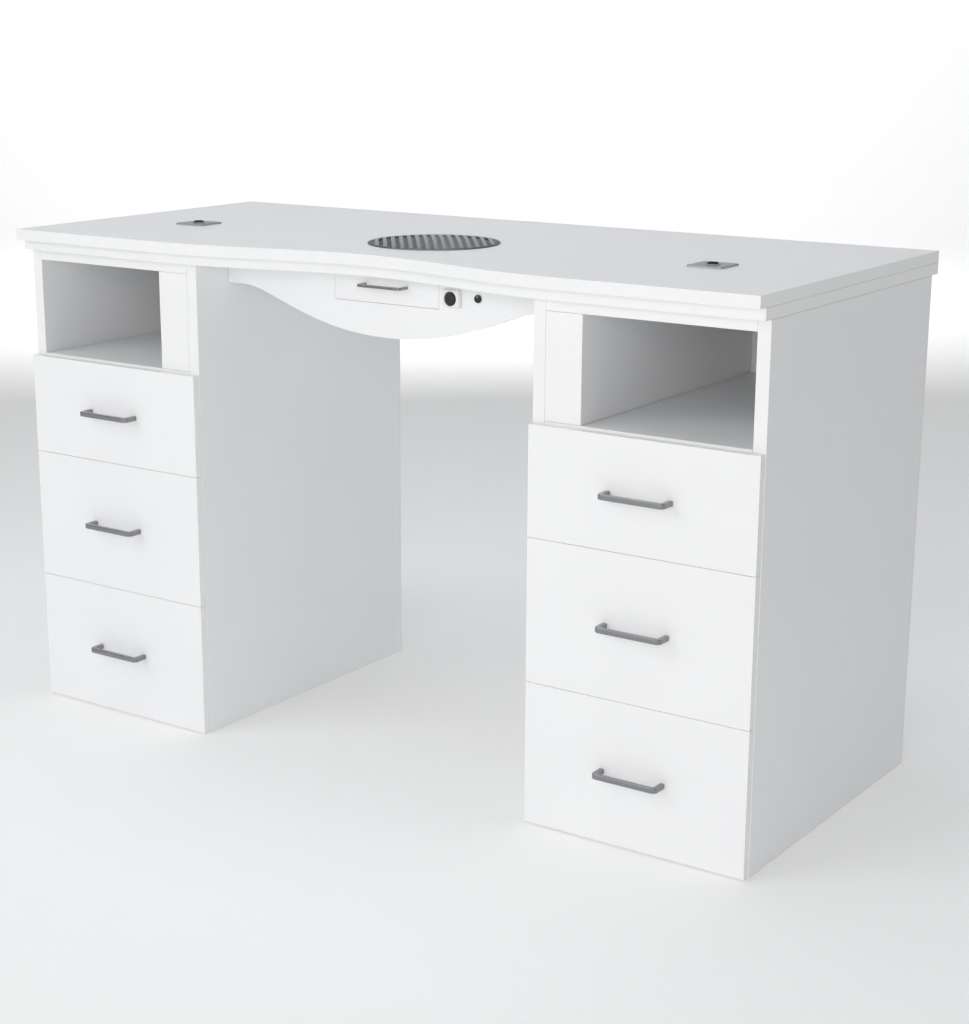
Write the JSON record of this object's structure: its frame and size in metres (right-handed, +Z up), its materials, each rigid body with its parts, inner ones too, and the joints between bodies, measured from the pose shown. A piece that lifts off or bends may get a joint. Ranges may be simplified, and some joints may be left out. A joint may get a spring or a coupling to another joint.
{
  "type": "manicure table",
  "caption": "White two-pedestal manicure table with drawers, open cubbies, a bowed front, lamp sockets and a built-in dust collector under a round grille.",
  "frame": {"origin": "on the floor, under the middle of the table", "axes": "+X to the technician's right along the table's length, +Y from the technician to the client, +Z up"},
  "size_m": [1.25, 0.55, 0.7558],
  "materials": {
    "white_laminate": "satin white melamine laminate on chipboard",
    "dark_chrome": "polished dark chrome plate",
    "grille_steel": "satin pressed steel",
    "zinc_steel": "bright zinc plate",
    "white_moulding": "white moulded ABS",
    "black_moulding": "black moulded ABS",
    "filter_foam": "open-cell charcoal filter foam"
  },
  "bodies": {
    "carcass": {"tabletop": "white_laminate", "sub_top": "white_laminate", "apron_panel": "white_laminate", "side_outer_left": "white_laminate", "side_inner_left": "white_laminate", "back_panel_left": "white_laminate", "top_panel_left": "white_laminate", "cubby_shelf_left": "white_laminate", "cubby_partition_left": "white_laminate", "bottom_panel_left": "white_laminate", "side_outer_right": "white_laminate", "side_inner_right": "white_laminate", "back_panel_right": "white_laminate", "top_panel_right": "white_laminate", "cubby_shelf_right": "white_laminate", "cubby_partition_right": "white_laminate", "bottom_panel_right": "white_laminate", "rail_left_top_inner": "zinc_steel", "rail_left_top_outer": "zinc_steel", "rail_left_middle_inner": "zinc_steel", "rail_left_middle_outer": "zinc_steel", "rail_left_bottom_inner": "zinc_steel", "rail_left_bottom_outer": "zinc_steel", "rail_right_top_inner": "zinc_steel", "rail_right_top_outer": "zinc_steel", "rail_right_middle_inner": "zinc_steel", "rail_right_middle_outer": "zinc_steel", "rail_right_bottom_inner": "zinc_steel", "rail_right_bottom_outer": "zinc_steel", "lamp_socket_left": "dark_chrome", "lamp_socket_right": "dark_chrome", "vent_grille": "grille_steel", "collector_housing": "white_moulding", "switch_block": "white_moulding", "power_inlet": "black_moulding"},
    "drawer_left_top": {"drawer_front_left_top": "white_laminate", "drawer_box_left_top": "white_laminate", "handle_left_top": "dark_chrome"},
    "drawer_left_middle": {"drawer_front_left_middle": "white_laminate", "drawer_box_left_middle": "white_laminate", "handle_left_middle": "dark_chrome"},
    "drawer_left_bottom": {"drawer_front_left_bottom": "white_laminate", "drawer_box_left_bottom": "white_laminate", "handle_left_bottom": "dark_chrome"},
    "drawer_right_top": {"drawer_front_right_top": "white_laminate", "drawer_box_right_top": "white_laminate", "handle_right_top": "dark_chrome"},
    "drawer_right_middle": {"drawer_front_right_middle": "white_laminate", "drawer_box_right_middle": "white_laminate", "handle_right_middle": "dark_chrome"},
    "drawer_right_bottom": {"drawer_front_right_bottom": "white_laminate", "drawer_box_right_bottom": "white_laminate", "handle_right_bottom": "dark_chrome"},
    "filter_tray": {"tray_front": "white_laminate", "tray_box": "zinc_steel", "filter_pad": "filter_foam", "tray_handle": "dark_chrome"},
    "fan": {"fan_impeller": "black_moulding"},
    "rocker": {"switch_rocker": "black_moulding"},
    "knob": {"speed_knob": "black_moulding"}
  },
  "joints": [
    {"name": "slide_left_top", "type": "slide", "parent": "carcass", "child": "drawer_left_top", "axis": [0, -1, 0], "range_m": [0, 0.3]},
    {"name": "slide_left_middle", "type": "slide", "parent": "carcass", "child": "drawer_left_middle", "axis": [0, -1, 0], "range_m": [0, 0.3]},
    {"name": "slide_left_bottom", "type": "slide", "parent": "carcass", "child": "drawer_left_bottom", "axis": [0, -1, 0], "range_m": [0, 0.3]},
    {"name": "slide_right_top", "type": "slide", "parent": "carcass", "child": "drawer_right_top", "axis": [0, -1, 0], "range_m": [0, 0.3]},
    {"name": "slide_right_middle", "type": "slide", "parent": "carcass", "child": "drawer_right_middle", "axis": [0, -1, 0], "range_m": [0, 0.3]},
    {"name": "slide_right_bottom", "type": "slide", "parent": "carcass", "child": "drawer_right_bottom", "axis": [0, -1, 0], "range_m": [0, 0.3]},
    {"name": "tray_slide", "type": "slide", "parent": "carcass", "child": "filter_tray", "axis": [0, -1, 0], "range_m": [0, 0.17]},
    {"name": "fan_spin", "type": "hinge", "parent": "carcass", "child": "fan", "pos_m": [0, -0.0525, 0.65625], "axis": [0, 0, 1], "continuous": true},
    {"name": "switch_rock", "type": "hinge", "parent": "carcass", "child": "rocker", "pos_m": [0.1145, -0.1725, 0.6934], "axis": [0, 0, 1], "range_deg": [0, 14]},
    {"name": "knob_turn", "type": "hinge", "parent": "carcass", "child": "knob", "pos_m": [0.1557, -0.1675, 0.6958], "axis": [0, 1, 0], "range_deg": [0, 270]}
  ]
}
